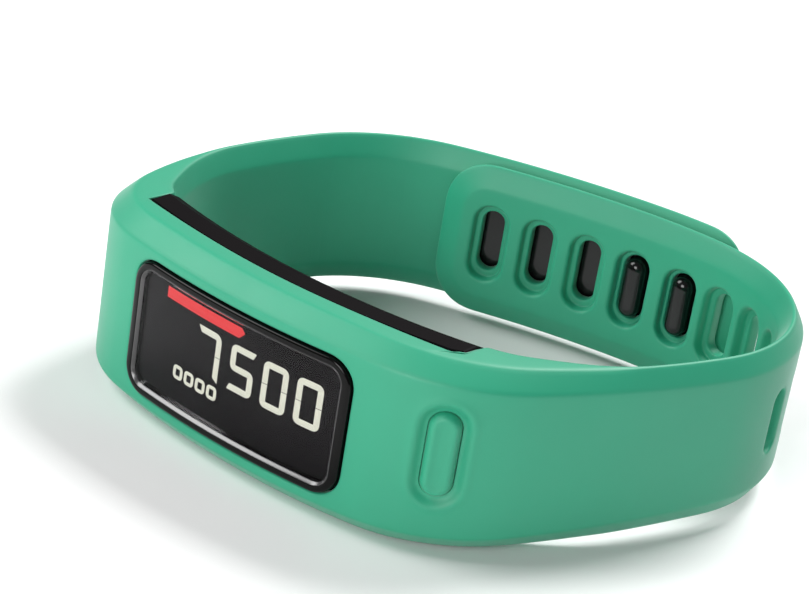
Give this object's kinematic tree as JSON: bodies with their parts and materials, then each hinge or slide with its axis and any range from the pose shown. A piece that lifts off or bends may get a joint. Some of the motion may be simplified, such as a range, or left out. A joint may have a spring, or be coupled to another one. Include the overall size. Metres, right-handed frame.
{
  "type": "fitness tracker band",
  "caption": "Wrist-worn activity tracker: a closed silicone band with a slim display module, a press button and a peg clasp.",
  "frame": {"origin": "middle of the band's outside box, at the lower edge that it stands on", "axes": "+Z along the wrist, -Y out of the display, +X towards the button"},
  "size_m": [0.0656, 0.0594, 0.021],
  "materials": {
    "silicone": "soft matt moulded silicone",
    "peg_plastic": "moulded gloss black",
    "housing_plastic": "fine matt black",
    "bezel_gloss": "gloss black ring",
    "lens_glass": "clear hard cover lens",
    "panel_face": "dark display film",
    "frame_plastic": "plain matt",
    "flex_film": "amber film",
    "board_laminate": "solder mask",
    "chip_black": "moulded package",
    "can_metal": "plain metal can",
    "ceramic": "fired ceramic",
    "key_plastic": "plain matt",
    "seal_rubber": "soft matt",
    "cell_steel": "plain plated steel",
    "contact_brass": "plated spring metal",
    "screw_steel": "dark passivated"
  },
  "bodies": {
    "band": {"wrist_band": "silicone"},
    "peg_strap": {"peg_strap": "silicone"},
    "clasp": {"clasp_strap_end": "silicone", "clasp_insert": "peg_plastic"},
    "button": {"button_pad": "silicone"},
    "module": {"front_housing": "housing_plastic", "bezel": "bezel_gloss", "display_lens": "lens_glass", "display_panel": "panel_face", "display_frame": "frame_plastic", "display_flex": "flex_film", "main_board": "board_laminate", "radio_chip": "chip_black", "motion_sensor": "chip_black", "clock_crystal": "can_metal", "chip_antenna": "ceramic", "capacitors": "ceramic", "key_seal": "seal_rubber", "switch_body": "can_metal", "battery_tray": "frame_plastic", "coin_cell_left": "cell_steel", "coin_cell_right": "cell_steel", "contact_left": "contact_brass", "contact_right": "contact_brass", "cover_gasket": "seal_rubber", "back_cover": "housing_plastic", "screw_inserts": "contact_brass", "cover_screws": "screw_steel"},
    "key": {"module_key": "key_plastic"},
    "plunger": {"switch_plunger": "key_plastic"}
  },
  "joints": [
    {"name": "peg_strap_flex", "type": "hinge", "parent": "band", "child": "peg_strap", "pos_m": [-0.02665, 0.01561, 0.0105], "axis": [0, 0, 1], "range_deg": [0, 20], "stiffness_Nm_per_rad": 0.02},
    {"name": "clasp_peel", "type": "hinge", "parent": "peg_strap", "child": "clasp", "pos_m": [-0.02053, 0.02069, 0.0105], "axis": [0, 0, 1], "range_deg": [0, 60]},
    {"name": "button_press", "type": "slide", "parent": "band", "child": "button", "axis": [-0.5861, 0.8103, 0], "range_m": [0, 0.00035], "stiffness_N_per_m": 3000},
    {"name": "module_eject", "type": "slide", "parent": "band", "child": "module", "axis": [0, 1, 0], "range_m": [0, 0.012]},
    {"name": "key_press", "type": "slide", "parent": "module", "child": "key", "axis": [-0.5861, 0.8103, 0], "range_m": [0, 0.00035]},
    {"name": "switch_press", "type": "slide", "parent": "module", "child": "plunger", "axis": [-0.5861, 0.8103, 0], "range_m": [0, 0.00035]}
  ],
  "couplings": [
    {"joint": "clasp_peel", "follows": "peg_strap_flex", "ratio": 3},
    {"joint": "key_press", "follows": "button_press", "ratio": 1},
    {"joint": "switch_press", "follows": "button_press", "ratio": 1}
  ]
}
